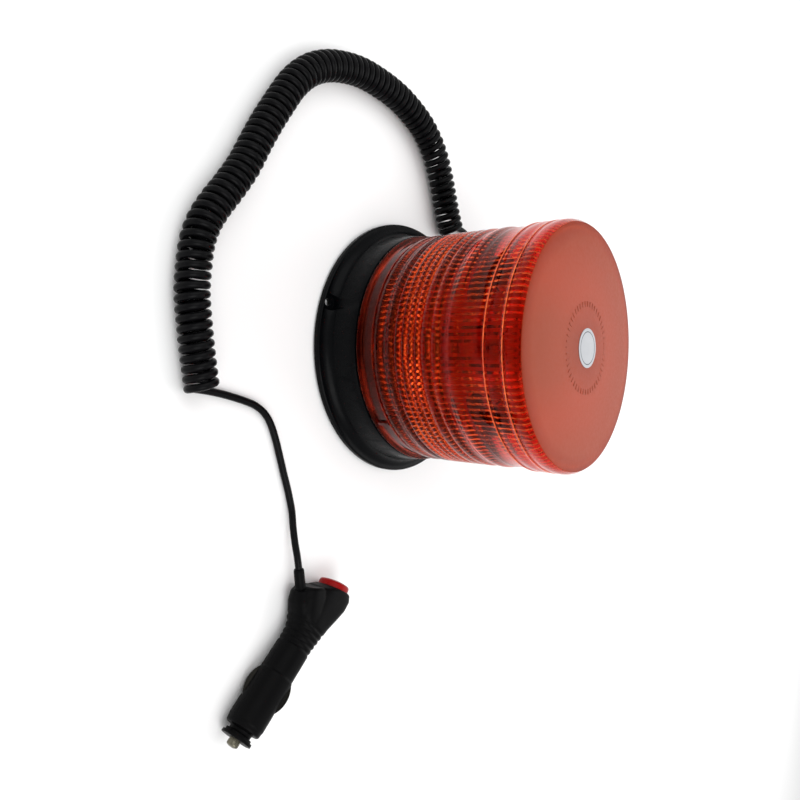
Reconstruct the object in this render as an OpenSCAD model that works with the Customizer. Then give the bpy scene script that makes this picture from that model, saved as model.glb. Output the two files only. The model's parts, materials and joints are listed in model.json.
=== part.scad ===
// Magnetic-base LED warning beacon with a curly cord and a 12 V lighter plug.
// Millimetres, +Z up. The origin is the centre of the base, on the surface it stands on.
// The plug and the cord lie on that same surface.

/* [Base] */
// Outer radius of the base flange
base_r = 81; // [79:0.5:84]
// Height of the flange's flat rim
flange_h = 4.7; // [4.2:0.1:5.2]
// Height of the deck that carries the lens
deck_z = 24.5; // [23.5:0.5:26]
// Wall thickness of the moulded housing
wall = 3; // [2.5:0.1:3.5]
// Radius of the steel cup round the magnet
cup_r = 40; // [36:1:42]

/* [Lens] */
// Outer radius of the smooth collar at the foot of the lens
lens_r = 68.9; // [68.5:0.1:70]
// Height of the flat top of the lens wall above the surface
lens_top = 130; // [126:1:136]
// How far each ring of the lens stands out from the grooves
ring_depth = 1.4; // [0.8:0.1:1.6]
// How far the centre of the top face rises above its rim
crown = 2.8; // [1:0.1:4]

/* [Light tower] */
// Width of the square LED tower
tower_w = 48; // [46:1:50]
// Height of the tower's top plate
tower_top = 108; // [104:1:110]
// Height of the four reflectors' centres
reflector_z = 86; // [84:1:92]
// Radius of each reflector's mouth
reflector_r = 16; // [14:0.5:16]

/* [Cord] */
// Diameter of the round cord
cord_d = 4; // [3.6:0.1:4]
// Outside diameter of the curly part
coil_d = 17.4; // [16:0.2:18]

/* [Plug] */
// Radius of the barrel that enters a lighter socket
barrel_r = 10.5; // [10.3:0.1:10.5]
// Direction of the plug on the surface, in degrees from +X
plug_turn = -48.1; // [-60:0.1:-40]
// How far the side contacts stand out of the barrel
contact_rise = 2; // [1.5:0.1:2]
// Turn of the side contacts about the plug's axis
contact_roll = 40; // [30:1:42]
// Radius of the push button
button_r = 9.2; // [8.5:0.1:9.4]

/* [Hidden] */
$fn = 96;
eps = 0.01;

// Base heights and radii
housing_foot = 0.5;
pad_t = 1.5;
plate_t = 2;
plate_top = pad_t + plate_t;
fillet_at = [80, 12.11];
fillet_r = 7.41;
fillet_end = 201.5;
deck_r = 71.6;
cavity_r = 68;
plate_seat = 70;
plate_r = 69.7;
edge = 0.8;
deck_floor = deck_z - wall;
neck_r = 65.5;
neck_in = 62;
neck_top = deck_z + 8.5;

// Magnet
cup_top = 11.5;
cup_wall = 2.5;
cup_flange_r = cup_r + 5;
magnet_hole_r = 10;
pad_r = 66;

// Fixing screws of the base, under the flange and through the plate
fix_r = 76.5;
fix_hole_r = 2.4;
fix_turns = [-110, 70];
pocket_w = 9.6;
pocket_end = 79.8;
pocket_floor = 3.5;
plate_screw_ring = 56;
screw_gap = 0.05;
screw_r = 1.5;
boss_r = 4;

// Cable gland
gland_turn = 105;
gland_z = 16;
gland_face = 76;
gland_boss_r = 7.8;
gland_r = 4;
gland_gap = 0.05;
gland_nut_r = 6.1;
relief_end = 92;

// Bayonet between lens and neck
lug_turns = [0, 120, 240];
lug_z = deck_z + 4;
lug_h = 2.5;
lug_half = 4;
twist = 20;
slot_gap = 0.3;
slot_in = 63.3;
slot_half = lug_half + 0.6;

// Driver board
board_z = 29;
board_t = 1.6;
board_top = board_z + board_t;
board_r = 58;
post_ring = 50;
post_r = 3.5;

// Lens
lens_in = 66;
lens_foot = deck_z + 0.9;
lip_r = 71.5;
lip_h = 1;
groove_r = 69.2;
ring_edges = [35, 42, 48.5, 53.5, 58, 62, 66, 73, 80, 86, 93, 109, 120];
wide_band = 12;
wide_depth = 0.2;
top_wall = 2.5;
label_r = 11;
label_seat = 12;
label_t = 0.3;
key_turn = -50;

// Tower
half_w = tower_w / 2;
tower_wall = 2;
panel_w = 34;
panel_low = 62;
panel_t = 1.6;
panel_out = half_w + panel_t;
reflector_deep = 16;
reflector_wall = 1.5;
throat_r = 5;
chip_w = 8;
chip_t = 1;
dome_r = 3;
top_r = 22;
top_deep = 5;
tab_ring = 30;

// Cord: the coil's axis and the cord both lie on the surface
cord_r = cord_d / 2;
coil_r = coil_d / 2;
lead_route = [
    [-23.8, 88.9, 16], [-26.2, 97, 15.2], [-30.5, 105, 12], [-37.5, 111, 7], [-46, 113, 3.4],
    [-55, 110.5, 2], [-64, 105, 2], [-72, 97.5, 2], [-79, 88.5, 2], [-85, 78, 2],
    [-88.5, 68, 2], [-88.5, 58, 2], [-84, 46, 2]
];
coil_route = [
    [-84, 46], [-95, 41], [-106, 37], [-117, 33], [-128, 28], [-138, 21], [-147, 11],
    [-154, -2], [-159, -16], [-162, -33], [-163, -50], [-161, -66], [-157, -80], [-150, -93],
    [-140, -104], [-128, -113], [-115, -122], [-102, -130], [-90, -137], [-78, -146],
    [-67, -155], [-58, -161], [-48, -165], [-36, -167], [-24, -168], [-10, -167],
    [4, -165.5], [22, -163]
];
tail_route = [
    [22, -162, 2], [23.3, -155, 2], [25, -147, 2], [27, -139.5, 2], [29.3, -132, 2],
    [32, -125, 2], [36.5, -118.7, 2], [43, -114.2, 2], [52, -110.7, 2], [62, -107.7, 2],
    [72, -104.8, 2], [80, -102.3, 2], [87, -100.6, 2.2], [94, -99.8, 3], [102, -101, 5.2],
    [110, -102.4, 8.2], [117, -102.6, 10.2], [124.4, -101.8, 10.6]
];

// Plug, in its own frame: x runs towards the tip, z = 0 is the split between the shells
plug_at = [175.8, -115.2, 10.6];
barrel_end = 36;
neck_start = 5;
neck_back = -16;
neck_plug_r = 9.9;
head_half = 10.2;
nose_r = 6.4;
nose_end = 38.4;
thread_r = 5.6;
thread_end = 40.4;
channel_r = 4.3;
channel_back = -14;
head_outline = [
    [-14, 9.6], [-27, 11], [-36, 12.3], [-46, 14.2], [-50, 15], [-53.5, 13.5], [-55.2, 11.1],
    [-50, -7.3], [-49, -10], [-45.5, -14], [-42.4, -17], [-34, -21.5], [-30.5, -18.5],
    [-27, -14], [-22, -11], [-14, -9.6]
];
button_at = [-52.6, 1.9, 0];
button_turn = 195.7;
button_rise = 4.6;
switch_deep = 14;
switch_w = 12;
well_z = -7;
stem_r = 3;
relief_at = [-37.4, -19.5, 0];
relief_turn = 235.1;
relief_out = 12;
relief_in = 5;
relief_r = 3.2;
plug_screw_spots = [[-42, -11.5], [-30, 8.3]];
plug_screw_r = 1.1;
fuse_r = 3.2;
fuse_len = 30;
fuse_front = 38.4;
fuse_back = fuse_front - fuse_len;
tip_r = 3.3;
tip_end = 45.5;
nut_r = 8.8;
nut_back = 38.6;
nut_front = 41.5;
bow_mid = 13.5;
bow_chord = 9;
bow_sag = 3;
bow_t = 0.9;
bow_w = 5;

// ---- helpers ----

// Places children at radius r and height z, turned to azimuth a, with +X pointing outwards.
module polar(r, a, z = 0) {
    rotate([0, 0, a]) translate([r, 0, z]) children();
}

// Turns a +Z shape so that it points along +X.
module along_x() {
    rotate([0, 90, 0]) children();
}

module tube(r_out, r_in, h) {
    difference() {
        cylinder(r = r_out, h = h);
        translate([0, 0, -eps]) cylinder(r = r_in, h = h + 2 * eps);
    }
}

module plug_frame() {
    translate(plug_at) rotate([0, 0, plug_turn]) children();
}

module switch_frame() {
    plug_frame() translate(button_at) rotate([0, 0, button_turn]) along_x() children();
}

function unit(v) = v / norm(v);
function heading(p, i) = unit(p[min(i + 1, len(p) - 1)] - p[max(i - 1, 0)]);
function arc(c, r, a0, a1, n) =
    [for (k = [0 : n]) let (a = a0 + (a1 - a0) * k / n) c + r * [cos(a), sin(a)]];
function section(c, t, r, n, up) =
    let (side = unit(cross(t, up)), rise = cross(side, t))
    [for (k = [0 : n - 1]) c + r * (cos(360 * k / n) * side + sin(360 * k / n) * rise)];

// A round bar of n sides that follows a path, closed at both ends.
module sweep(path, r, n, up = [0, 0, 1]) {
    last = len(path) - 1;
    points = [for (i = [0 : last]) each section(path[i], heading(path, i), r, n, up)];
    sides = [
        for (i = [0 : last - 1]) for (k = [0 : n - 1])
            [i * n + k, i * n + (k + 1) % n, (i + 1) * n + (k + 1) % n, (i + 1) * n + k]
    ];
    back = [for (k = [n - 1 : -1 : 0]) k];
    front = [for (k = [0 : n - 1]) last * n + k];
    polyhedron(points, concat(sides, [back, front]));
}

// ---- base ----

module housing_body() {
    fillet = arc(fillet_at, fillet_r, 270, fillet_end, 8);
    rotate_extrude() polygon(concat(
        [[0, deck_floor], [cavity_r, deck_floor], [cavity_r, plate_top], [plate_seat, plate_top]],
        [[plate_seat, housing_foot], [base_r - edge, housing_foot], [base_r, housing_foot + edge]],
        [[base_r, flange_h - edge], [base_r - edge, flange_h]],
        fillet,
        [[deck_r, deck_z], [neck_r, deck_z], [neck_r, neck_top], [neck_in, neck_top]],
        [[neck_in, deck_z], [0, deck_z]]
    ));
    polar(cavity_r - 2, gland_turn, gland_z) along_x()
        cylinder(r = gland_boss_r, h = gland_face - cavity_r + 2);
    for (a = [45 : 90 : 315])
        polar(plate_screw_ring, a, plate_top) cylinder(r = boss_r, h = deck_floor - plate_top + 1);
    for (a = [0 : 90 : 270])
        polar(post_ring, a, deck_z - 1) cylinder(r = post_r, h = board_z - deck_z + 1);
}

// Screw pocket: round against the housing's wall, square at the flange's edge.
module fixing_pocket() {
    half = pocket_w / 2;
    translate([0, 0, pocket_floor]) intersection() {
        union() {
            cylinder(r = half, h = deck_z);
            translate([0, -half, 0]) cube([half, pocket_w, deck_z]);
        }
        translate([-half, -half, 0]) cube([half + pocket_end - fix_r, pocket_w, deck_z]);
    }
    cylinder(r = fix_hole_r, h = pocket_floor + eps);
}

// Bayonet slot: a run the width of the twist, open at its end through the neck's top.
module bayonet_slot() {
    low = lug_z - slot_gap;
    rotate([0, 0, -slot_half]) translate([0, 0, low]) rotate_extrude(angle = twist + 2 * slot_half)
        translate([slot_in, 0]) square([4, lug_h + 2 * slot_gap]);
    rotate([0, 0, twist - slot_half]) translate([0, 0, low + 1]) rotate_extrude(angle = 2 * slot_half - 0.3)
        translate([slot_in - 0.2, 0]) square([5, neck_top - low]);
}

module base_housing() {
    color([0.05, 0.05, 0.055]) difference() {
        housing_body();
        for (a = fix_turns) polar(fix_r, a) fixing_pocket();
        for (a = lug_turns) rotate([0, 0, a]) bayonet_slot();
        for (a = [45 : 90 : 315])
            polar(plate_screw_ring, a, plate_top - eps) cylinder(r = screw_r + screw_gap, h = 12);
        for (a = [0 : 90 : 270])
            polar(post_ring, a, deck_z - 0.5) cylinder(r = screw_r + screw_gap, h = 6);
        polar(cavity_r - 4, gland_turn, gland_z) along_x() cylinder(r = gland_r + gland_gap, h = 12);
        polar(post_ring, gland_turn, deck_floor - 1) cylinder(r = 4, h = wall + 2);
    }
}

module bottom_plate() {
    color([0.35, 0.36, 0.38]) difference() {
        translate([0, 0, pad_t]) tube(plate_r, cup_r + gland_gap, plate_t);
        for (a = [45 : 90 : 315])
            polar(plate_screw_ring, a) cylinder(r = screw_r + 0.2, h = plate_top + 1);
    }
}

module magnet_cup() {
    color([0.72, 0.73, 0.75]) rotate_extrude() polygon([
        [0, cup_top], [cup_r, cup_top], [cup_r, plate_top + 1.2], [cup_flange_r, plate_top + 1.2],
        [cup_flange_r, plate_top], [cup_r, plate_top], [cup_r, pad_t], [cup_r - cup_wall, pad_t],
        [cup_r - cup_wall, cup_top - 2], [0, cup_top - 2]
    ]);
}

module ring_magnet() {
    color([0.16, 0.16, 0.17])
        translate([0, 0, pad_t + 0.5]) tube(cup_r - cup_wall - 0.1, magnet_hole_r, cup_top - pad_t - 2.5);
}

module magnet_pad() {
    color([0.09, 0.09, 0.09]) difference() {
        cylinder(r = pad_r, h = pad_t);
        for (a = [45 : 90 : 315]) polar(plate_screw_ring, a, -eps) cylinder(r = 4.6, h = pad_t + 2 * eps);
    }
}

module plate_screws() {
    color([0.7, 0.7, 0.68]) for (a = [45 : 90 : 315]) polar(plate_screw_ring, a, 0.2) {
        difference() {
            cylinder(r = 3.4, h = pad_t - 0.2);
            translate([-2.2, -0.4, -eps]) cube([4.4, 0.8, 0.7]);
            translate([-0.4, -2.2, -eps]) cube([0.8, 4.4, 0.7]);
        }
        cylinder(r = screw_r, h = 13);
    }
}

module lens_seal() {
    color([0.1, 0.1, 0.1]) translate([0, 0, deck_z]) tube(70, 66.4, 0.8);
}

module cable_gland() {
    color([0.06, 0.06, 0.06]) polar(0, gland_turn, gland_z) along_x() {
        translate([0, 0, 60]) cylinder(r = gland_r, h = gland_face - 60 + eps);
        translate([0, 0, gland_face]) cylinder(r = 6.5, h = 3);
        translate([0, 0, gland_face + 3]) cylinder(r1 = 4.8, r2 = 2.9, h = relief_end - gland_face - 3);
    }
}

module gland_nut() {
    color([0.75, 0.75, 0.7]) polar(62, gland_turn, gland_z) along_x() difference() {
        rotate([0, 0, 30]) cylinder(r = gland_nut_r, h = 4, $fn = 6);
        translate([0, 0, -eps]) cylinder(r = gland_r + gland_gap, h = 4 + 2 * eps);
    }
}

// ---- electronics ----

module driver_board() {
    color([0.05, 0.3, 0.15]) difference() {
        translate([0, 0, board_z]) cylinder(r = board_r, h = board_t);
        for (a = [0 : 90 : 270]) polar(post_ring, a, board_z - 1) cylinder(r = screw_r + 0.1, h = 4);
        for (a = [45 : 90 : 315]) polar(tab_ring, a, board_z - 1) cylinder(r = screw_r + 0.05, h = 4);
    }
}

module board_parts() {
    color([0.12, 0.12, 0.13]) for (a = [20, 110, 158, 202, 338])
        polar(46, a, board_top) translate([-2.5, -4, 0]) cube([5, 8, 1.8]);
    color([0.3, 0.28, 0.25]) polar(46, 248, board_top) tube(6, 2.5, 6);
}

module capacitors() {
    color([0.12, 0.12, 0.2]) for (a = [68, 292]) polar(46, a, board_top) {
        cylinder(r = 5, h = 12);
        translate([0, 0, 12]) cylinder(r1 = 5, r2 = 4.4, h = 0.6);
    }
}

module board_screws() {
    color([0.75, 0.75, 0.72]) for (a = [0 : 90 : 270]) polar(post_ring, a, deck_z) {
        translate([0, 0, 0.2]) cylinder(r = screw_r, h = board_top - deck_z);
        translate([0, 0, board_top - deck_z]) cylinder(r1 = 3, r2 = 2.2, h = 1.6);
    }
}

// Two insulated leads from the gland, under the deck and up to the board.
module supply_leads() {
    bend = 6;
    for (k = [-1, 1])
        color(k > 0 ? [0.6, 0.05, 0.05] : [0.05, 0.05, 0.05])
            rotate([0, 0, gland_turn]) translate([0, k * 1.4, 0]) sweep(concat(
                [[60, 0, gland_z]],
                [for (a = [0 : 15 : 90])
                    [post_ring + bend - bend * sin(a), 0, gland_z + bend - bend * cos(a)]],
                [[post_ring, 0, board_z]]
            ), 0.9, 8, [0, 1, 0]);
}

// ---- light tower ----

module on_face(i) {
    rotate([0, 0, 90 * i - 135]) children();
}

module tower_frame() {
    color([0.62, 0.63, 0.65]) difference() {
        union() {
            on_face(0) difference() {
                translate([-half_w, -half_w, board_top]) cube([tower_w, tower_w, tower_top - board_top]);
                translate([tower_wall - half_w, tower_wall - half_w, board_top - 1])
                    cube([tower_w - 2 * tower_wall, tower_w - 2 * tower_wall, tower_top - board_top - 1]);
            }
            for (i = [0 : 3]) on_face(i)
                translate([half_w - eps, -5, board_top]) cube([11, 10, 2]);
        }
        for (i = [0 : 3]) on_face(i)
            translate([tab_ring, 0, board_top - 1]) cylinder(r = screw_r + 0.1, h = 4);
    }
}

module tower_screws() {
    color([0.75, 0.75, 0.72]) for (i = [0 : 3]) on_face(i) translate([tab_ring, 0, board_z - 1]) {
        cylinder(r = screw_r, h = board_t + 3.2);
        translate([0, 0, board_t + 3]) cylinder(r1 = 2.8, r2 = 2.1, h = 1.5);
    }
}

module led_board(i) {
    color([0.05, 0.28, 0.14]) on_face(i)
        translate([half_w, -panel_w / 2, panel_low]) cube([panel_t, panel_w, tower_top - panel_low]);
}

// A round bowl with a parabolic wall, its axis along +Z and its mouth at the far end.
module bowl(mouth, throat, deep, thick) {
    steps = 6;
    inner = [for (k = [0 : steps]) [throat + (mouth - thick - throat) * sqrt(k / steps), deep * k / steps]];
    outer = [for (k = [steps : -1 : 0])
        [throat + thick + (mouth - thick - throat) * sqrt(k / steps), deep * k / steps]];
    rotate_extrude() polygon(concat(inner, outer));
}

module reflector(i) {
    color([0.2, 0.2, 0.22]) on_face(i) translate([panel_out, 0, reflector_z]) along_x()
        bowl(reflector_r, throat_r, reflector_deep, reflector_wall);
}

module led_cluster(i) {
    color([0.9, 0.7, 0.2]) on_face(i) translate([panel_out, 0, reflector_z]) along_x() {
        translate([-chip_w / 2 + 0.5, -chip_w / 2 + 0.5, 0]) cube([chip_w - 1, chip_w - 1, chip_t]);
        translate([0, 0, chip_t - eps]) cylinder(r = dome_r, h = 1.5);
        translate([0, 0, chip_t + 1.49]) cylinder(r1 = dome_r, r2 = 1.5, h = 1.5);
    }
}

module top_board() {
    color([0.05, 0.28, 0.14]) translate([0, 0, tower_top]) cylinder(r = 23, h = panel_t);
}

module top_reflector() {
    color([0.2, 0.2, 0.22]) translate([0, 0, tower_top + panel_t]) bowl(top_r, throat_r + 1, top_deep, 1.2);
}

module top_leds() {
    color([0.9, 0.7, 0.2]) translate([0, 0, tower_top + panel_t]) {
        translate([-chip_w / 2, -chip_w / 2, 0]) cube([chip_w, chip_w, chip_t]);
        translate([0, 0, chip_t - eps]) cylinder(r = dome_r, h = 2);
    }
}

// ---- lens ----

function ring_out(i) =
    let (low = ring_edges[i], high = i + 1 < len(ring_edges) ? ring_edges[i + 1] : lens_top - 0.5)
    let (tall = high - low, rise = tall > wide_band ? wide_depth : ring_depth)
    [[groove_r, low], [groove_r + rise, low + 0.3 * tall], [groove_r + rise, low + 0.7 * tall]];

module lens() {
    last = len(ring_edges) - 1;
    outer = [for (i = [0 : last]) each ring_out(i)];
    color([0.85, 0.28, 0.05, 0.8]) {
        rotate_extrude() polygon(concat(
            [[lens_in, lens_foot], [lip_r, lens_foot], [lip_r, lens_foot + lip_h]],
            [[lens_r, lens_foot + lip_h], [lens_r, ring_edges[0]]],
            outer,
            [[groove_r - 0.2, lens_top - 1.2], [groove_r - 1.2, lens_top]],
            [[40, lens_top + 0.72 * crown], [label_seat, lens_top + crown], [0, lens_top + crown]],
            [[0, lens_top + crown - top_wall], [40, lens_top + 0.72 * crown - top_wall]],
            [[lens_in, lens_top - top_wall]]
        ));
        for (a = lug_turns) rotate([0, 0, a - lug_half]) translate([0, 0, lug_z])
            rotate_extrude(angle = 2 * lug_half)
                translate([slot_in + slot_gap, 0]) square([lens_in - slot_in, lug_h]);
        polar(lens_r - 0.5, key_turn, lens_foot + lip_h - eps)
            translate([0, -1, 0]) cube([1.9, 2, ring_edges[0] - lens_foot - lip_h + eps]);
    }
}

module lens_label() {
    color([0.93, 0.93, 0.93]) translate([0, 0, lens_top + crown]) cylinder(r = label_r, h = label_t);
}

// ---- cord ----

module cord_lead() {
    color([0.04, 0.04, 0.04]) sweep(lead_route, cord_r, 8);
}

module cord_coil() {
    color([0.04, 0.04, 0.04]) sweep([for (p = coil_route) [p[0], p[1], coil_r]], coil_r, 12);
}

module cord_tail() {
    color([0.04, 0.04, 0.04]) sweep(tail_route, cord_r, 8);
}

module strain_relief() {
    color([0.05, 0.05, 0.05])
        plug_frame() translate(relief_at) rotate([0, 0, relief_turn])
        translate([-relief_in, 0, 0]) along_x() {
            cylinder(r = relief_r + 1, h = 2);
            translate([0, 0, 2 - eps]) cylinder(r = relief_r, h = relief_in - 2 + 2 * eps);
            translate([0, 0, relief_in]) cylinder(r1 = relief_r, r2 = 2.65, h = relief_out);
        }
}

// ---- plug ----

module plug_outside() {
    translate([0, 0, -head_half]) linear_extrude(2 * head_half) polygon(head_outline);
    translate([neck_back, 0, 0]) along_x() cylinder(r = neck_plug_r, h = neck_start - neck_back + eps);
    translate([neck_start, 0, 0]) along_x() cylinder(r = barrel_r, h = barrel_end - 1.2 - neck_start);
    translate([barrel_end - 1.2, 0, 0]) along_x() cylinder(r1 = barrel_r, r2 = barrel_r - 1.2, h = 1.2);
    translate([barrel_end - eps, 0, 0]) along_x() cylinder(r = nose_r, h = nose_end - barrel_end + eps);
    translate([nose_end - eps, 0, 0]) along_x() cylinder(r = thread_r, h = thread_end - nose_end + eps);
}

module contact_slot(side) {
    rotate([contact_roll, 0, 0])
        translate([bow_mid - bow_chord - 0.8, side > 0 ? 6.6 : -14, -bow_w / 2 - 0.3])
            cube([2 * bow_chord + 1.6, 7.4, bow_w + 0.6]);
}

module plug_hollows() {
    translate([channel_back, 0, 0]) along_x() cylinder(r = channel_r, h = 60);
    translate([-37, -6, -7]) cube([24, 11.5, 14]);
    translate(button_at) rotate([0, 0, button_turn]) along_x() {
        translate([0, 0, -6]) cylinder(r = button_r + 0.3, h = 12);
        half = switch_w / 2 + 0.2;
        translate([-half, -half, -switch_deep]) cube([2 * half, 2 * half, switch_deep - 5]);
        translate([-4, -4, -switch_deep - 3]) cube([8, 8, 4]);
    }
    translate(relief_at) rotate([0, 0, relief_turn]) along_x() {
        translate([0, 0, -17.5]) cylinder(r = relief_r + screw_gap, h = 19.5);
        translate([0, 0, -relief_in - 0.1]) cylinder(r = relief_r + 1.1, h = 2.2);
    }
    contact_slot(1);
    contact_slot(-1);
    for (p = plug_screw_spots) translate([p[0], p[1], 0]) {
        translate([0, 0, -head_half]) cylinder(r = plug_screw_r + screw_gap, h = head_half + 5.5);
        translate([0, 0, -head_half - 1]) cylinder(r = 2.1, h = 3.5);
    }
}

module plug_half(top) {
    color([0.05, 0.05, 0.05]) plug_frame() intersection() {
        difference() {
            plug_outside();
            plug_hollows();
        }
        translate([-70, -30, top ? 0 : -20]) cube([120, 60, 20]);
    }
}

module plug_shell_upper() {
    plug_half(true);
}

module plug_shell_lower() {
    plug_half(false);
}

module plug_screws() {
    color([0.6, 0.6, 0.6]) plug_frame() for (p = plug_screw_spots) translate([p[0], p[1], -head_half + 1.2]) {
        cylinder(r = 1.9, h = 1.3);
        cylinder(r = plug_screw_r, h = head_half + 3.5);
    }
}

module fuse_glass() {
    color([0.8, 0.9, 0.9, 0.5]) plug_frame() translate([fuse_back + 5.5, 0, 0]) along_x()
        tube(fuse_r - 0.3, fuse_r - 1, fuse_len - 11);
}

module fuse_caps() {
    color([0.8, 0.8, 0.78]) plug_frame() for (x = [fuse_back, fuse_front - 5.5])
        translate([x, 0, 0]) along_x() cylinder(r = fuse_r, h = 5.5);
}

module tip_contact() {
    color([0.8, 0.78, 0.7]) plug_frame() {
        translate([fuse_front, 0, 0]) along_x() cylinder(r = channel_r - 0.15, h = 1.9);
        translate([fuse_front, 0, 0]) along_x() cylinder(r = tip_r, h = tip_end - fuse_front - 1);
        translate([tip_end - 1 - eps, 0, 0]) along_x() cylinder(r1 = tip_r, r2 = tip_r - 0.9, h = 1);
    }
}

module tip_spring() {
    coils = 5;
    wire = 0.45;
    low = 0.5 + wire;
    run = fuse_back - 2 * wire - 0.7;
    color([0.75, 0.75, 0.75]) plug_frame() sweep([
        for (k = [0 : 12 * coils])
            [low + run * k / (12 * coils), 3.1 * cos(30 * k), 3.1 * sin(30 * k)]
    ], wire, 6, [1, 0, 0]);
}

module spring_terminal() {
    color([0.8, 0.65, 0.3]) plug_frame() translate([-0.5, 0, 0]) along_x() {
        cylinder(r = channel_r - 0.1, h = 1);
        translate([0, 0, -4]) cylinder(r = 1, h = 4 + eps);
    }
}

// A bowed strip of spring metal, standing contact_rise proud of the barrel.
module side_contact(side) {
    bow_r = (bow_chord * bow_chord + bow_sag * bow_sag) / (2 * bow_sag);
    centre = barrel_r + contact_rise - bow_r;
    plug_frame() rotate([contact_roll, 0, 0])
        translate([bow_mid, 0, -bow_w / 2]) mirror([0, side > 0 ? 0 : 1, 0])
        linear_extrude(bow_w) intersection() {
            difference() {
                translate([0, centre]) circle(r = bow_r);
                translate([0, centre]) circle(r = bow_r - bow_t);
            }
            translate([-bow_chord, barrel_r - 2]) square([2 * bow_chord, 6]);
        }
}

module side_contact_left() {
    color([0.7, 0.68, 0.62]) side_contact(-1);
}

module side_contact_right() {
    color([0.7, 0.68, 0.62]) side_contact(1);
}

module ring_nut() {
    color([0.05, 0.05, 0.05]) plug_frame() translate([nut_back, 0, 0]) along_x() difference() {
        union() {
            cylinder(r = nut_r - 1.2, h = nut_front - nut_back);
            translate([0, 0, 1.2]) cylinder(r = nut_r, h = nut_front - nut_back - 1.2);
            for (s = [-1, 1]) translate([-1.5, s > 0 ? 5 : -nut_r - 0.6, 0]) cube([3, nut_r - 4.4, 2.9]);
        }
        translate([0, 0, -eps]) cylinder(r = thread_r + 0.05, h = thread_end - nut_back + 0.05);
        cylinder(r = tip_r + 0.1, h = 10);
    }
}

module switch_body() {
    color([0.1, 0.1, 0.1]) switch_frame() {
        difference() {
            union() {
                translate([-switch_w / 2, -switch_w / 2, 0.2 - switch_deep])
                    cube([switch_w, switch_w, switch_deep + well_z - 0.2]);
                translate([0, 0, well_z - eps]) cylinder(r = stem_r + 1.6, h = 2);
            }
            translate([0, 0, well_z - 2.2]) cylinder(r = stem_r + 0.15, h = 5);
        }
        for (y = [-2.2, 2.2]) translate([-0.4, y - 1, -switch_deep - 2.5]) cube([0.8, 2, 2.7 + eps]);
    }
}

module switch_button() {
    color([0.75, 0.03, 0.03]) switch_frame() {
        translate([0, 0, -2.8]) cylinder(r = button_r, h = button_rise + 1.2);
        translate([0, 0, button_rise - 1.6 - eps]) cylinder(r1 = button_r, r2 = button_r - 1.6, h = 1.6);
        translate([0, 0, well_z + 1]) cylinder(r = stem_r, h = 3.2 + eps);
    }
}

// Two short leads in the plug's head, from the cord's end towards the switch and the contacts.
module plug_leads() {
    start = [-34.2, -14.9];
    mid = [-31.2, -10.7];
    live = [[start[0], start[1], 1], [mid[0], mid[1], 1], [-28.5, -6, 1], [-28.5, -1, 1], [-31.5, 2.5, 1]];
    earth = [[start[0], start[1], -1], [mid[0], mid[1], -1], [-27.5, -6, -1], [-22, -2, -1], [-16, 0, -1]];
    color([0.6, 0.05, 0.05]) plug_frame() sweep(live, 0.8, 8);
    color([0.05, 0.05, 0.05]) plug_frame() sweep(earth, 0.8, 8);
}

base_housing();
bottom_plate();
magnet_cup();
ring_magnet();
magnet_pad();
plate_screws();
lens_seal();
cable_gland();
gland_nut();
driver_board();
board_parts();
capacitors();
board_screws();
supply_leads();
tower_frame();
tower_screws();
led_board(0);  // led_board_1
led_board(1);  // led_board_2
led_board(2);  // led_board_3
led_board(3);  // led_board_4
reflector(0);  // reflector_1
reflector(1);  // reflector_2
reflector(2);  // reflector_3
reflector(3);  // reflector_4
led_cluster(0);  // led_cluster_1
led_cluster(1);  // led_cluster_2
led_cluster(2);  // led_cluster_3
led_cluster(3);  // led_cluster_4
top_board();
top_reflector();
top_leds();
lens();
lens_label();
cord_lead();
cord_coil();
cord_tail();
strain_relief();
plug_shell_upper();
plug_shell_lower();
plug_screws();
fuse_glass();
fuse_caps();
tip_contact();
tip_spring();
spring_terminal();
side_contact_left();
side_contact_right();
ring_nut();
switch_body();
switch_button();
plug_leads();
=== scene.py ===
"""Magnetic-base amber beacon with a curly cord and a 12 V lighter plug.

Every length is in metres, in the frame of the CAD part: +Z up, origin at the centre of the base.
"""

import json
import math
import bmesh
import bpy
import numpy as np
from bpy.props import FloatProperty, FloatVectorProperty, IntProperty, PointerProperty
from mathutils import Matrix, Vector


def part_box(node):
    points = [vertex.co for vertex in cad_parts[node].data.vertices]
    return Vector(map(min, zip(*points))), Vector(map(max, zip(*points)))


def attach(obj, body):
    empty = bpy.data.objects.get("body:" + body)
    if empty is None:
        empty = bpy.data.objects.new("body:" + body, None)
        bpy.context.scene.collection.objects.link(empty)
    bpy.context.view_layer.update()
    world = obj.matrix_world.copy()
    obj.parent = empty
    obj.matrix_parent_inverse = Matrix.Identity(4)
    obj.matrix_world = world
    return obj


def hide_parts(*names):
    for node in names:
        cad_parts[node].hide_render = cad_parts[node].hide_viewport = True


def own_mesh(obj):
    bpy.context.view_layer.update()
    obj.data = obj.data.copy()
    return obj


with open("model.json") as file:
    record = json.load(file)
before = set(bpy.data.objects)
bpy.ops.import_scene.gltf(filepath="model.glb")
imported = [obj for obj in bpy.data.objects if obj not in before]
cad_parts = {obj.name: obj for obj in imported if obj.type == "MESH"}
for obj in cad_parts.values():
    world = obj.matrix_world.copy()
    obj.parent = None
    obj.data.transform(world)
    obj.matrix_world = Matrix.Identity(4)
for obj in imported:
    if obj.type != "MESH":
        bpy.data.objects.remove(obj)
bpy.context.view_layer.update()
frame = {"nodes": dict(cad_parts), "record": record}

bl_info = {
    "name": "Amber beacon",
    "version": (1, 0, 0),
    "blender": (4, 5, 0),
    "location": "View3D > Sidebar > Beacon",
    "description": "Finishes and soft parts of a magnetic-base beacon with a curly cord and plug",
    "category": "Object",
}

MM = 0.001
UP = np.array([0.0, 0.0, 1.0])

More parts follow.
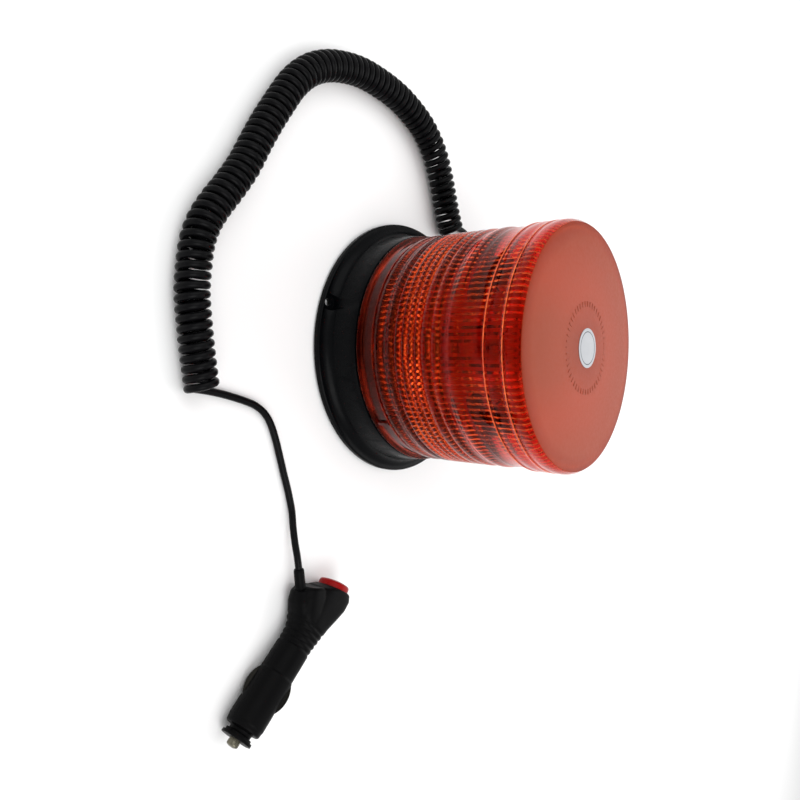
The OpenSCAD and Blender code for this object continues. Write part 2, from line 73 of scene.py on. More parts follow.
# Plug: its own frame has x towards the tip, and z = 0 on the split between the shells.
PLUG_AT = np.array([0.1758, -0.1152, 0.0106])
PLUG_TURN = math.radians(-48.1)
CONTACT_ROLL = math.radians(40)
BUTTON_AT = (-0.0526, 0.0019, 0.0)
BUTTON_TURN = math.radians(195.7)
RELIEF_AT = (-0.0374, -0.0195, 0.0)
RELIEF_TURN = math.radians(235.1)

# Cord: the stretch from the gland, the coil's axis and the stretch to the plug.
LEAD_ROUTE = [
    (-0.0238, 0.0889, 0.016), (-0.0262, 0.097, 0.0152), (-0.0305, 0.105, 0.012),
    (-0.0375, 0.111, 0.007), (-0.046, 0.113, 0.0034), (-0.055, 0.1105, 0.002),
    (-0.064, 0.105, 0.002), (-0.072, 0.0975, 0.002), (-0.079, 0.0885, 0.002),
    (-0.085, 0.078, 0.002), (-0.0885, 0.068, 0.002), (-0.0885, 0.058, 0.002),
]
COIL_AXIS = [
    (-0.084, 0.046), (-0.095, 0.041), (-0.106, 0.037), (-0.117, 0.033), (-0.128, 0.028),
    (-0.138, 0.021), (-0.147, 0.011), (-0.154, -0.002), (-0.159, -0.016), (-0.162, -0.033),
    (-0.163, -0.05), (-0.161, -0.066), (-0.157, -0.08), (-0.15, -0.093), (-0.14, -0.104),
    (-0.128, -0.113), (-0.115, -0.122), (-0.102, -0.13), (-0.09, -0.137), (-0.078, -0.146),
    (-0.067, -0.155), (-0.058, -0.161), (-0.048, -0.165), (-0.036, -0.167), (-0.024, -0.168),
    (-0.01, -0.167), (0.004, -0.1655), (0.022, -0.163),
]
TAIL_ROUTE = [
    (0.0233, -0.155, 0.002), (0.025, -0.147, 0.002), (0.027, -0.1395, 0.002),
    (0.0293, -0.132, 0.002), (0.032, -0.125, 0.002), (0.0365, -0.1187, 0.002),
    (0.043, -0.1142, 0.002), (0.052, -0.1107, 0.002), (0.062, -0.1077, 0.002),
    (0.072, -0.1048, 0.002), (0.08, -0.1023, 0.002), (0.087, -0.1006, 0.0022),
    (0.094, -0.0998, 0.003), (0.102, -0.101, 0.0052), (0.11, -0.1024, 0.0082),
    (0.117, -0.1026, 0.0102), (0.1244, -0.1018, 0.0106),
]


# The LED cups: height of their middle, radius at foot and mouth, place of the foot and depth.
CUP_Z, CUP_THROAT, CUP_MOUTH = 0.086, 0.0062, 0.0153
CUP_FOOT, CUP_DEEP = 0.0256, 0.016

# Heights of the bands, and of the collar below, that are painted darker on the lens's wall as painted shade, in
# millimetres.
PAINTED_SHADE_BANDS = [(42.5, 45.0), (82.0, 85.5), (93.5, 97.0)]
PAINTED_SHADE_COLLAR = (24.5, 35.0)


# ---- settings ----


class BeaconLensSettings(bpy.types.PropertyGroup):
    """Sizes and colours of the lens."""

    flutes: IntProperty(name="Flutes", description="Flutes on the inside of the lens", default=120, min=24)
    flute_depth: FloatProperty(
        name="Flute depth", description="Depth of the inner flutes", default=0.0009, unit="LENGTH"
    )
    ring_rise: FloatProperty(
        name="Ring rise", description="How far each ring stands out", default=0.0014, unit="LENGTH"
    )
    ticks: IntProperty(name="Ticks", description="Raised ticks round the label", default=48, min=3)
    amber: FloatVectorProperty(
        name="Amber", description="Colour of the lens's wall", default=(0.80, 0.070, 0.012), subtype="COLOR"
    )
    frosted: FloatVectorProperty(
        name="Frosted", description="Colour of the frosted top", default=(0.40, 0.068, 0.027), subtype="COLOR"
    )


class BeaconCordSettings(bpy.types.PropertyGroup):
    """Sizes and colour of the cord."""

    thick: FloatProperty(name="Thickness", description="Diameter of the cord", default=0.004, unit="LENGTH")
    coil: FloatProperty(
        name="Coil", description="Outside diameter of the curly part", default=0.0174, unit="LENGTH"
    )
    turns: IntProperty(name="Turns", description="Turns of the curly part", default=80, min=1)
    rubber: FloatVectorProperty(
        name="Rubber", description="Colour of the cord", default=(0.0024, 0.0024, 0.0028), subtype="COLOR"
    )


class BeaconBodySettings(bpy.types.PropertyGroup):
    """Colours of the base and the plug."""

    housing: FloatVectorProperty(
        name="Housing", description="Colour of the base", default=(0.0014, 0.0016, 0.0020), subtype="COLOR"
    )
    plug: FloatVectorProperty(
        name="Plug", description="Colour of the plug", default=(0.0018, 0.0018, 0.0020), subtype="COLOR"
    )
    button: FloatVectorProperty(
        name="Button", description="Colour of the button", default=(0.26, 0.0012, 0.0012), subtype="COLOR"
    )
    floor: FloatVectorProperty(
        name="Floor", description="Colour of the floor", default=(0.9, 0.9, 0.9), subtype="COLOR"
    )


# ---- curves and meshes ----


def smooth_route(points, step):
    """Points about a step apart on a smooth curve through the given ones."""
    p = np.array(points, float)
    p = np.vstack([2 * p[0] - p[1], p, 2 * p[-1] - p[-2]])
    out = []
    for a, b, c, d in zip(p, p[1:], p[2:], p[3:]):
        count = max(2, int(np.linalg.norm(c - b) / step))
        for t in np.arange(count) / count:
            out.append(
                0.5 * (2 * b + (c - a) * t + (2 * a - 5 * b + 4 * c - d) * t * t + (3 * b - a - 3 * c + d) * t ** 3)
            )
    return np.array(out + [p[-2]])


def evenly(points, count):
    """The same line with that many points, an equal way apart."""
    along = np.concatenate([[0], np.cumsum(np.linalg.norm(np.diff(points, axis=0), axis=1))])
    at = np.linspace(0, along[-1], count)
    return np.stack([np.interp(at, along, points[:, k]) for k in range(points.shape[1])], axis=1)


def helix(axis, radius, turns, per_turn):
    """A helix round a level axis, lowest at both ends, where it heads to the left of the axis."""
    centre = evenly(smooth_route(axis, 0.001), turns * per_turn + 1)
    ahead = np.gradient(centre, axis=0)
    ahead /= np.linalg.norm(ahead, axis=1)[:, None]
    left = np.cross(UP, ahead)
    turn = 2 * math.pi * np.arange(len(centre)) / per_turn
    return centre + radius * (np.sin(turn)[:, None] * left - np.cos(turn)[:, None] * UP)


def swept(path, radius, sides):
    """A round bar along a path, closed at both ends. radius is one number, or one for each point."""
    path = np.array(path, float)
    radii = np.broadcast_to(radius, len(path))
    ahead = np.gradient(path, axis=0)
    ahead /= np.linalg.norm(ahead, axis=1)[:, None]
    side = np.cross(ahead[0], UP)
    points = []
    for here, way, r in zip(path, ahead, radii):
        side = side - way * side.dot(way)
        side /= np.linalg.norm(side)
        other = np.cross(way, side)
        for k in range(sides):
            a = 2 * math.pi * k / sides
            points.append(here + r * (math.cos(a) * side + math.sin(a) * other))
    last = len(path) - 1
    faces = [
        (i * sides + k, i * sides + (k + 1) % sides, (i + 1) * sides + (k + 1) % sides, (i + 1) * sides + k)
        for i in range(last)
        for k in range(sides)
    ]
    faces.append(tuple(range(sides))[::-1])
    faces.append(tuple(last * sides + k for k in range(sides)))
    return points, faces


def piece(name, points, faces, finish, sharp=35):
    """A new mesh object with its normals outwards, smooth but for edges sharper than that many degrees."""
    mesh = bpy.data.meshes.new(name)
    mesh.from_pydata([tuple(p) for p in points], [], faces)
    return finished(name, mesh, finish, sharp)


def finished(name, mesh, finish, sharp=35):
    """An object for a mesh, with its doubles merged and its normals outwards."""
    shape = bmesh.new()
    shape.from_mesh(mesh)
    bmesh.ops.remove_doubles(shape, verts=shape.verts, dist=1e-6)
    bmesh.ops.recalc_face_normals(shape, faces=shape.faces)
    shape.to_mesh(mesh)
    shape.free()
    mesh.shade_smooth()
    mesh.set_sharp_from_angle(angle=math.radians(sharp))
    made = bpy.data.objects.new(name, mesh)
    bpy.context.scene.collection.objects.link(made)
    if finish is not None:
        mesh.materials.clear()
        mesh.materials.append(finish)
    return made


def baked(made, name, finish=None, sharp=35):
    """A plain mesh object from one whose modifiers are live, which it takes the place of."""
    bpy.context.view_layer.update()
    graph = bpy.context.evaluated_depsgraph_get()
    mesh = bpy.data.meshes.new_from_object(made.evaluated_get(graph))
    bpy.data.objects.remove(made)
    mesh.name = name
    return finished(name, mesh, finish, sharp)


def in_metres(profile):
    """A profile given in millimetres, in metres."""
    return [(r * MM, z * MM) for r, z in profile]


def place(made, matrix):
    """Puts a matrix into the mesh, so the object itself stays at the origin."""
    made.data.transform(matrix)
    made.data.update()
    return made


def plug_place(at=(0, 0, 0), turn=0.0):
    """The matrix from a part of the plug, whose +Z points along +X turned by turn, to the row frame."""
    local = Matrix.Translation(Vector(at)) @ Matrix.Rotation(turn, 4, "Z")
    local = local @ Matrix.Rotation(math.pi / 2, 4, "Y")
    return Matrix.Translation(Vector(PLUG_AT)) @ Matrix.Rotation(PLUG_TURN, 4, "Z") @ local


def plug_point(x, y, z=0.0):
    c, s = math.cos(PLUG_TURN), math.sin(PLUG_TURN)
    return PLUG_AT + np.array([x * c - y * s, x * s + y * c, z])


def arc(centre, radius, start, end, count):
    """Points of an arc in a profile's plane, in degrees."""
    turns = np.radians(np.linspace(start, end, count))
    return [(centre[0] + radius * math.cos(a), centre[1] + radius * math.sin(a)) for a in turns]


def copied(node, name, finish, bevel=0.0, segments=2, sharp=35):
    """A copy of a CAD node with its doubles merged and its edges rounded, which stands for the node."""
    mesh = frame["nodes"][node].data.copy()
    shape = bmesh.new()
    shape.from_mesh(mesh)
    bmesh.ops.remove_doubles(shape, verts=shape.verts, dist=2e-6)
    bmesh.ops.dissolve_limit(shape, angle_limit=math.radians(0.6), verts=shape.verts, edges=shape.edges)
    shape.to_mesh(mesh)
    shape.free()
    made = bpy.data.objects.new(name, mesh)
    bpy.context.scene.collection.objects.link(made)
    if bevel:
        edge = made.modifiers.new("Rounded edges", "BEVEL")
        edge.width = bevel
        edge.segments = segments
        edge.limit_method = "ANGLE"
        edge.angle_limit = math.radians(40)
        edge.use_clamp_overlap = True
    made = baked(made, name, finish, sharp)
    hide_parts(node)
    return made


# ---- node trees ----


def tree_of(name, inputs):
    """A geometry tree with one Geometry input and output, and the named inputs."""
    tree = bpy.data.node_groups.new(name, "GeometryNodeTree")
    tree.interface.new_socket("Geometry", in_out="INPUT", socket_type="NodeSocketGeometry")
    tree.interface.new_socket("Geometry", in_out="OUTPUT", socket_type="NodeSocketGeometry")
    for label, kind in inputs:
        tree.interface.new_socket(label, in_out="INPUT", socket_type="NodeSocket" + kind)
    return tree


class Wires:
    """Short calls that add nodes to a tree and join them."""

    def __init__(self, tree):
        self.tree = tree

    def node(self, kind, links=(), **settings):
        made = self.tree.nodes.new(kind)
        for key, value in settings.items():
            setattr(made, key, value)
        for socket, value in dict(links).items():
            self.feed(made, socket, value)
        return made

    def feed(self, made, socket, value):
        target = made.inputs[socket]
        if isinstance(value, bpy.types.NodeSocket):
            self.tree.links.new(value, target)
        else:
            target.default_value = value

    def sum(self, operation, a, b=0.0, kind="ShaderNodeMath"):
        return self.node(kind, {0: a, 1: b}, operation=operation).outputs[0]


def turned_tree():
    """Turns a profile about Z. Points whose flute value is 1 are drawn in by round flutes."""
    tree = tree_of(
        "Turned profile", [("Steps", "Int"), ("Flutes", "Int"), ("Flute depth", "Float"), ("Finish", "Material")]
    )
    w = Wires(tree)
    given = w.node("NodeGroupInput")
    profile = given.outputs["Geometry"]
    points = w.node("GeometryNodeAttributeDomainSize", {"Geometry": profile}).outputs["Point Count"]
    across = w.sum("ADD", given.outputs["Steps"], 1)
    sheet = w.node(
        "GeometryNodeMeshGrid", {"Size X": 1.0, "Size Y": 1.0, "Vertices X": across, "Vertices Y": points}
    ).outputs["Mesh"]
    spot = w.node("GeometryNodeInputPosition").outputs[0]
    apart = w.node("ShaderNodeSeparateXYZ", {0: spot})
    share = w.sum("ADD", apart.outputs["X"], 0.5)
    row = w.sum("MULTIPLY", w.sum("ADD", apart.outputs["Y"], 0.5), w.sum("SUBTRACT", points, 1))
    row = w.sum("ROUND", row)
    index = w.node("FunctionNodeFloatToInt", {0: row}, rounding_mode="ROUND").outputs[0]
    own = w.node(
        "GeometryNodeSampleIndex",
        {"Geometry": profile, "Value": spot, "Index": index},
        data_type="FLOAT_VECTOR",
    )
    flute = w.node("GeometryNodeInputNamedAttribute", {"Name": "flute"}, data_type="FLOAT").outputs["Attribute"]
    fluted = w.node(
        "GeometryNodeSampleIndex", {"Geometry": profile, "Value": flute, "Index": index}, data_type="FLOAT"
    )
    angle = w.sum("MULTIPLY", share, 2 * math.pi)
    wave = w.sum("COSINE", w.sum("MULTIPLY", angle, given.outputs["Flutes"]))
    dip = w.sum("MULTIPLY", w.sum("MULTIPLY", wave, 0.5), given.outputs["Flute depth"])
    dip = w.sum("MULTIPLY", dip, fluted.outputs[0])
    from_profile = w.node("ShaderNodeSeparateXYZ", {0: own.outputs[0]})
    radius = w.sum("SUBTRACT", from_profile.outputs["X"], dip)
    target = w.node(
        "ShaderNodeCombineXYZ",
        {
            "X": w.sum("MULTIPLY", radius, w.sum("COSINE", angle)),
            "Y": w.sum("MULTIPLY", radius, w.sum("SINE", angle)),
            "Z": from_profile.outputs["Z"],
        },
    )
    moved = w.node("GeometryNodeSetPosition", {"Geometry": sheet, "Position": target.outputs[0]}).outputs[0]
    merged = w.node("GeometryNodeMergeByDistance", {"Geometry": moved, "Distance": 1e-6}).outputs[0]
    real = w.node("GeometryNodeRealizeInstances", {"Geometry": merged}).outputs[0]
    coloured = w.node("GeometryNodeSetMaterial", {"Geometry": real, "Material": given.outputs["Finish"]})
    w.node("NodeGroupOutput", {"Geometry": coloured.outputs[0]})
    return tree


def bars_tree():
    """Bars in a ring, each pointing outwards."""
    tree = tree_of(
        "Ring of bars",
        [("Count", "Int"), ("Radius", "Float"), ("Bar", "Vector"), ("Height", "Float"), ("Finish", "Material")],
    )
    w = Wires(tree)
    given = w.node("NodeGroupInput")
    ring = w.node("GeometryNodeMeshCircle", {"Vertices": given.outputs["Count"], "Radius": given.outputs["Radius"]})
    spot = w.node("GeometryNodeInputPosition").outputs[0]
    facing = w.node("FunctionNodeAlignRotationToVector", {"Vector": spot}, axis="X")
    bar = w.node("GeometryNodeMeshCube", {"Size": given.outputs["Bar"]}).outputs["Mesh"]
    bars = w.node(
        "GeometryNodeInstanceOnPoints",
        {"Points": ring.outputs[0], "Instance": bar, "Rotation": facing.outputs[0]},
    ).outputs[0]
    lift = w.node("ShaderNodeCombineXYZ", {"Z": given.outputs["Height"]}).outputs[0]
    real = w.node("GeometryNodeRealizeInstances", {"Geometry": bars}).outputs[0]
    lifted = w.node("GeometryNodeSetPosition", {"Geometry": real, "Offset": lift}).outputs[0]
    coloured = w.node("GeometryNodeSetMaterial", {"Geometry": lifted, "Material": given.outputs["Finish"]})
    w.node("NodeGroupOutput", {"Geometry": coloured.outputs[0]})
    return tree


def from_tree(tree, name, values, mesh=None, sharp=35):
    """The plain mesh that a tree makes with those inputs."""
    made = bpy.data.objects.new(name, mesh or bpy.data.meshes.new(name))
    bpy.context.scene.collection.objects.link(made)
    nodes = made.modifiers.new(tree.name, "NODES")
    nodes.node_group = tree
    for item in tree.interface.items_tree:
        if item.item_type == "SOCKET" and item.in_out == "INPUT" and item.name in values:
            nodes[item.identifier] = values[item.name]
    return baked(made, name, values["Finish"], sharp)


def turned(name, profile, finish, steps=96, flutes=0, flute_depth=0.0, fluted=(), closed=True, sharp=35):
    """A turned piece. profile is (radius, height) points; those whose index is in fluted get the flutes."""
    if closed:
        profile = list(profile) + [profile[0]]
    mesh = bpy.data.meshes.new(name)
    mesh.from_pydata([(r, 0.0, z) for r, z in profile], [(i, i + 1) for i in range(len(profile) - 1)], [])
    weight = mesh.attributes.new("flute", "FLOAT", "POINT")
    weight.data.foreach_set("value", [1.0 if i in fluted else 0.0 for i in range(len(profile))])
    tree = bpy.data.node_groups.get("Turned profile") or turned_tree()
    values = {"Steps": steps, "Flutes": flutes, "Flute depth": flute_depth, "Finish": finish}
    return from_tree(tree, name, values, mesh, sharp)


# ---- finishes ----


class Finish:
    """A procedural material on Object coordinates."""

    def __init__(self, name):
        self.material = bpy.data.materials.new(name)
        self.material.use_nodes = True
        self.w = Wires(self.material.node_tree)
        self.shader = self.material.node_tree.nodes["Principled BSDF"]
        self.place = self.w.node("ShaderNodeTexCoord").outputs["Object"]

    def set(self, **values):
        for label, value in values.items():
            self.w.feed(self.shader, label.replace("_", " "), value)

    def noise(self, scale, detail=3.0, rough=0.5, stretch=None):
        spot = self.place
        if stretch is not None:
            spot = self.w.node("ShaderNodeMapping", {"Vector": spot, "Scale": stretch}).outputs[0]
        return self.w.node(
            "ShaderNodeTexNoise", {"Vector": spot, "Scale": scale, "Detail": detail, "Roughness": rough}
        ).outputs["Fac"]

    def between(self, fac, low, high):
        """A number that goes from low to high as fac goes from 0.3 to 0.7."""
        return self.w.node(
            "ShaderNodeMapRange",
            {"Value": fac, "From Min": 0.3, "From Max": 0.7, "To Min": low, "To Max": high},
        ).outputs[0]

    def ramp(self, fac, stops):
        made = self.w.node("ShaderNodeValToRGB", {0: fac})
        band = made.color_ramp
        while len(band.elements) < len(stops):
            band.elements.new(0.5)
        for element, (at, colour) in zip(band.elements, stops):
            element.position = at
            element.color = (*colour, 1.0) if len(colour) == 3 else colour
        return made.outputs[0]

    def blend(self, fac, a, b):
        return self.w.node(
            "ShaderNodeMix", {"Factor": fac, 6: self.colour(a), 7: self.colour(b)}, data_type="RGBA"
        ).outputs[2]

    @staticmethod
    def colour(value):
        return value if isinstance(value, bpy.types.NodeSocket) else (*tuple(value)[:3], 1.0)

    def bump(self, height, depth, strength=1.0, under=None):
        links = {"Height": height, "Distance": depth, "Strength": strength}
        if under is not None:
            links["Normal"] = under
        return self.w.node("ShaderNodeBump", links).outputs[0]

    def across(self):
        """Distance from the Z axis."""
        apart = self.w.node("ShaderNodeSeparateXYZ", {0: self.place})
        x2 = self.w.sum("MULTIPLY", apart.outputs["X"], apart.outputs["X"])
        y2 = self.w.sum("MULTIPLY", apart.outputs["Y"], apart.outputs["Y"])
        return self.w.sum("SQRT", self.w.sum("ADD", x2, y2))

    def band(self, heights):
        """1 between each pair of those heights, and 0 elsewhere."""
        high = self.w.node("ShaderNodeSeparateXYZ", {0: self.place}).outputs["Z"]
        share = self.w.sum("DIVIDE", high, 0.14)
        stops = [(0.0, (0.0,) * 3)]
        for low, top in heights:
            low, top = low * MM / 0.14, top * MM / 0.14
            stops += [(low - 0.004, (0.0,) * 3), (low + 0.004, (1.0,) * 3)]
            stops += [(top - 0.004, (1.0,) * 3), (top + 0.004, (0.0,) * 3)]
        return self.ramp(share, stops)


def shade(colour, share):
    return tuple(min(1.0, c * share) for c in tuple(colour)[:3])


def moulded(name, colour, rough, grain=900.0, depth=0.00004, spread=0.08, blotch=0.18, shine=0.08):
    """Moulded plastic or rubber: fine grain, soft blotches and rubbed high spots."""
    f = Finish(name)
    broad = f.noise(28.0, 4.0)
    f.set(Base_Color=f.blend(broad, shade(colour, 1 - blotch), shade(colour, 1 + blotch)))
    worn = f.noise(160.0, 5.0, 0.65)
    f.set(Roughness=f.between(worn, rough - spread, rough + spread))
    f.set(Normal=f.bump(f.noise(grain, 2.0), depth), Specular_IOR_Level=shine)
    return f.material


def metal(name, colour, rough, brush=None, spread=0.08, pit=0.00002):
    """Metal with brushed or tumbled marks and a slight tarnish."""
    f = Finish(name)
    tarnish = f.noise(45.0, 5.0, 0.6)
    f.set(Metallic=1.0, Base_Color=f.blend(tarnish, shade(colour, 0.72), shade(colour, 1.08)))
    marks = f.noise(600.0, 3.0, 0.6, brush or (1.0, 1.0, 1.0))
    f.set(Roughness=f.between(marks, rough - spread, rough + spread), Normal=f.bump(marks, pit, 0.6))
    return f.material


def amber_wall(settings):
    """Clear amber moulding, with painted shade in darker bands at set heights and at the collar, and streaks of
    deeper and paler tone whose pale parts are painted highlights.
    """
    f = Finish("amber_wall")
    amber = tuple(settings.amber)
    deep = (amber[0] * 0.86, amber[1] * 0.45, amber[2] * 0.3)
    glint_tint = (min(1.0, amber[0] * 1.08), amber[1] * 1.7, amber[2] * 2.2)
    streaks = f.noise(90.0, 3.0, 0.6, (1.0, 1.0, 0.25))
    # Streaks of deeper and paler tone; the pale end is a painted highlight.
    tint = f.ramp(streaks, [(0.30, deep), (0.52, amber), (0.74, glint_tint)])
    # Painted shade: darker bands at set heights.
    tint = f.blend(f.band(PAINTED_SHADE_BANDS), tint, deep)
    # Painted shade: a darker collar.
    tint = f.blend(f.band([PAINTED_SHADE_COLLAR]), tint, (amber[0] * 0.35, amber[1] * 0.25, amber[2] * 0.4))
    f.set(Base_Color=tint, IOR=1.45, Transmission_Weight=1.0, Specular_Tint=(0.9, 0.10, 0.04, 1.0))
    f.set(Roughness=f.between(f.noise(240.0, 4.0), 0.04, 0.13))
    f.set(Normal=f.bump(f.noise(420.0, 2.0), 0.00005, 0.4))
    return f.material


def painted_highlight_line(settings):
    """A painted highlight on the moulded line between two bands: dark amber with bright dots."""
    f = Finish("painted_highlight_line")
    amber = tuple(settings.amber)
    glint_tint = (min(1.0, amber[0] * 1.05), 0.16, 0.03)
    dots = f.noise(260.0, 3.0, 0.6)
    f.set(Base_Color=f.blend(f.between(dots, 0.0, 1.0), (amber[0] * 0.7, 0.03, 0.004), glint_tint))
    f.set(Roughness=f.between(f.noise(300.0), 0.25, 0.4), Specular_IOR_Level=0.3)
    f.set(Normal=f.bump(dots, 0.0001, 0.5))
    return f.material


def amber_top(settings):
    """Frosted face of the same moulding, a darker red towards the rim, with painted shade in the middle where the
    tower stands under it.
    """
    f = Finish("amber_top")
    frosted = tuple(settings.frosted)
    out = f.w.sum("DIVIDE", f.across(), 0.07)
    wobble = f.w.sum("MULTIPLY", f.w.sum("SUBTRACT", f.noise(22.0, 4.0), 0.5), 0.12)
    spread = f.w.sum("ADD", out, wobble)
    tint = f.ramp(
        spread,
        [
            # The darker middle is painted shade of the tower under the face.
            (0.10, shade(frosted, 0.72)),
            (0.42, frosted),
            (0.85, shade(frosted, 0.95)),
            (0.995, (frosted[0] * 0.75, frosted[1] * 0.45, frosted[2] * 0.3)),
        ],
    )
    f.set(Base_Color=tint, IOR=1.45, Transmission_Weight=0.4, Specular_IOR_Level=0.06)
    f.set(Roughness=f.between(f.noise(500.0, 4.0), 0.38, 0.5), Specular_Tint=(1.0, 0.5, 0.35, 1.0))
    f.set(Normal=f.bump(f.noise(1500.0, 3.0), 0.00006, 0.5))
    return f.material


def label_paper():
    """White label with a thin printed ring."""
    f = Finish("label_paper")
    paper, ink = (0.40, 0.41, 0.43), (0.03, 0.035, 0.05)
    stops = [(0.780, paper), (0.795, ink), (0.825, ink), (0.840, paper)]
    ring = f.ramp(f.w.sum("MULTIPLY", f.across(), 90.0), stops)
    speck = f.blend(f.between(f.noise(380.0, 4.0), 0.0, 0.15), ring, (0.30, 0.30, 0.32))
    f.set(Base_Color=speck, Roughness=f.between(f.noise(90.0), 0.32, 0.46), Specular_IOR_Level=0.2)
    f.set(Normal=f.bump(f.noise(700.0), 0.00003, 0.4))
    return f.material


def white_board():
    """White solder mask under the LEDs, with faint tracks."""
    f = Finish("white_board")
    tracks = f.w.node("ShaderNodeTexVoronoi", {"Vector": f.place, "Scale": 140.0}, distance="MANHATTAN")
    marks = tracks.outputs["Distance"]
    f.set(Base_Color=f.ramp(marks, [(0.42, (0.80, 0.79, 0.76)), (0.5, (0.68, 0.66, 0.62))]))
    f.set(Roughness=f.between(f.noise(200.0), 0.3, 0.45), Normal=f.bump(marks, 0.00006, 0.5))
    return f.material


def board_mask(name="circuit_mask"):
    """Green solder mask with copper tracks under it."""
    f = Finish(name)
    given = {"Vector": f.place, "Scale": 160.0}
    tracks = f.w.node("ShaderNodeTexVoronoi", given, feature="F1", distance="MANHATTAN")
    under = f.ramp(tracks.outputs["Distance"], [(0.42, (0.012, 0.10, 0.035)), (0.5, (0.006, 0.05, 0.02))])
    f.set(Base_Color=under, Roughness=f.between(f.noise(200.0), 0.25, 0.4), Coat_Weight=0.3)
    f.set(Normal=f.bump(tracks.outputs["Distance"], 0.00006, 0.5))
    return f.material


def led_face():
    """Yellow phosphor under a clear dome."""
    f = Finish("led_face")
    dots = f.w.node("ShaderNodeTexVoronoi", {"Vector": f.place, "Scale": 420.0}).outputs["Distance"]
    f.set(Base_Color=f.ramp(dots, [(0.2, (0.95, 0.62, 0.10)), (0.6, (0.80, 0.42, 0.05))]), Roughness=0.18)
    f.set(Coat_Weight=0.8, Normal=f.bump(dots, 0.00005, 0.3))
    return f.material


def fuse_tube():
    """Clear glass with a faint haze."""
    f = Finish("fuse_tube")
    haze = f.noise(120.0, 4.0)
    f.set(Base_Color=f.blend(haze, (0.86, 0.93, 0.92), (0.95, 0.99, 0.98)), Transmission_Weight=0.9, IOR=1.5)
    f.set(Roughness=f.between(haze, 0.03, 0.12))
    return f.material


def reflector_cup():
    """Near-black inside, a painted dark reflection standing for the metallised cup, and pale moulded outside, told
    apart by the cup's own curve.
    """
    f = Finish("reflector_cup")
    apart = f.w.node("ShaderNodeSeparateXYZ", {0: f.place})
    x, y = f.w.sum("ABSOLUTE", apart.outputs["X"]), f.w.sum("ABSOLUTE", apart.outputs["Y"])
    half_turn = math.sqrt(0.5)
    out = f.w.sum("MULTIPLY", f.w.sum("ADD", x, y), half_turn)
    side = f.w.sum("MULTIPLY", f.w.sum("SUBTRACT", x, y), half_turn)
    high = f.w.sum("SUBTRACT", apart.outputs["Z"], CUP_Z)
    wide = f.w.sum("SQRT", f.w.sum("ADD", f.w.sum("POWER", side, 2.0), f.w.sum("POWER", high, 2.0)))
    share = f.w.sum("MAXIMUM", f.w.sum("DIVIDE", f.w.sum("SUBTRACT", out, CUP_FOOT), CUP_DEEP), 0.0)
    wall = f.w.sum("ADD", f.w.sum("MULTIPLY", f.w.sum("SQRT", share), CUP_MOUTH - CUP_THROAT), CUP_THROAT)
    outside = f.w.sum("GREATER_THAN", wide, f.w.sum("ADD", wall, 0.0004))
    grain = f.noise(700.0, 3.0)
    # Painted dark reflection: the metallised inside is painted near black.
    inner = f.blend(grain, (0.004, 0.004, 0.004), (0.012, 0.012, 0.012))
    outer = f.blend(grain, (0.42, 0.40, 0.37), (0.55, 0.53, 0.50))
    f.set(Base_Color=f.blend(outside, inner, outer), Specular_IOR_Level=0.2)
    f.set(Roughness=f.between(grain, 0.22, 0.38), Normal=f.bump(grain, 0.00003, 0.4))
    return f.material


FINISHES = {}


def finishes(scene):
    """Makes one finish for each of the record's material slots, and the lens's own."""
    body, cord, lens = scene.beacon_body, scene.beacon_cord, scene.beacon_lens
    FINISHES.update(
        {
            "housing_plastic": moulded("black_base", body.housing, 0.28, 1100.0, 0.00003, 0.07, 0.25, 0.055),
            "plate_steel": metal("plated_sheet", (0.42, 0.43, 0.45), 0.38, (1.0, 12.0, 1.0)),
            "cup_steel": metal("bright_cup", (0.62, 0.63, 0.64), 0.24, (1.0, 1.0, 8.0)),
            "ferrite": moulded("sintered_ferrite", (0.028, 0.028, 0.03), 0.62, 1400.0, 0.00008, 0.1, 0.3),
            "pad_rubber": moulded("matt_pad", (0.016, 0.016, 0.016), 0.72, 700.0, 0.0001, 0.08, 0.3),
            "screw_steel": metal("plated_screws", (0.66, 0.65, 0.62), 0.27, (1.0, 1.0, 6.0)),
            "cord_rubber": moulded("black_cord", cord.rubber, 0.30, 1500.0, 0.00003, 0.07, 0.25, 0.07),
            "circuit_board": board_mask(),
            "component_black": moulded("moulded_chips", (0.02, 0.02, 0.022), 0.5, 1600.0, 0.00003),
            "lead_insulation": moulded("red_insulation", (0.16, 0.015, 0.012), 0.42, 1300.0, 0.00002),
            "tower_aluminium": moulded("satin_tower", (0.62, 0.61, 0.58), 0.45, 900.0, 0.00003, 0.08, 0.08, 0.4),
            "reflector_plastic": reflector_cup(),
            "led": led_face(),
            "amber_lens": amber_wall(lens),
            "label_white": label_paper(),
            "plug_plastic": moulded("matt_plug", body.plug, 0.42, 1700.0, 0.00006, 0.07, 0.25, 0.045),
            "fuse_glass": fuse_tube(),
            "contact_metal": metal("dull_contact", (0.15, 0.14, 0.105), 0.30, (1.0, 1.0, 5.0)),
            # The side contacts are painted near black, a painted dark reflection on their metal.
            "side_strip": metal("strip_painted_dark", (0.013, 0.0125, 0.011), 0.32, (1.0, 1.0, 5.0)),
            "spring_steel": metal("bright_spring", (0.68, 0.68, 0.68), 0.22),
            "terminal_brass": metal("yellow_brass", (0.75, 0.55, 0.22), 0.28),
            "switch_red": moulded("red_button", body.button, 0.32, 1200.0, 0.00003, 0.06, 0.12, 0.12),
            "lens_top": amber_top(lens),
            # The painted highlight on the lens's moulded lines.
            "lens_highlight_line": painted_highlight_line(lens),
            "led_board": white_board(),
        }
    )


# ---- operators ----


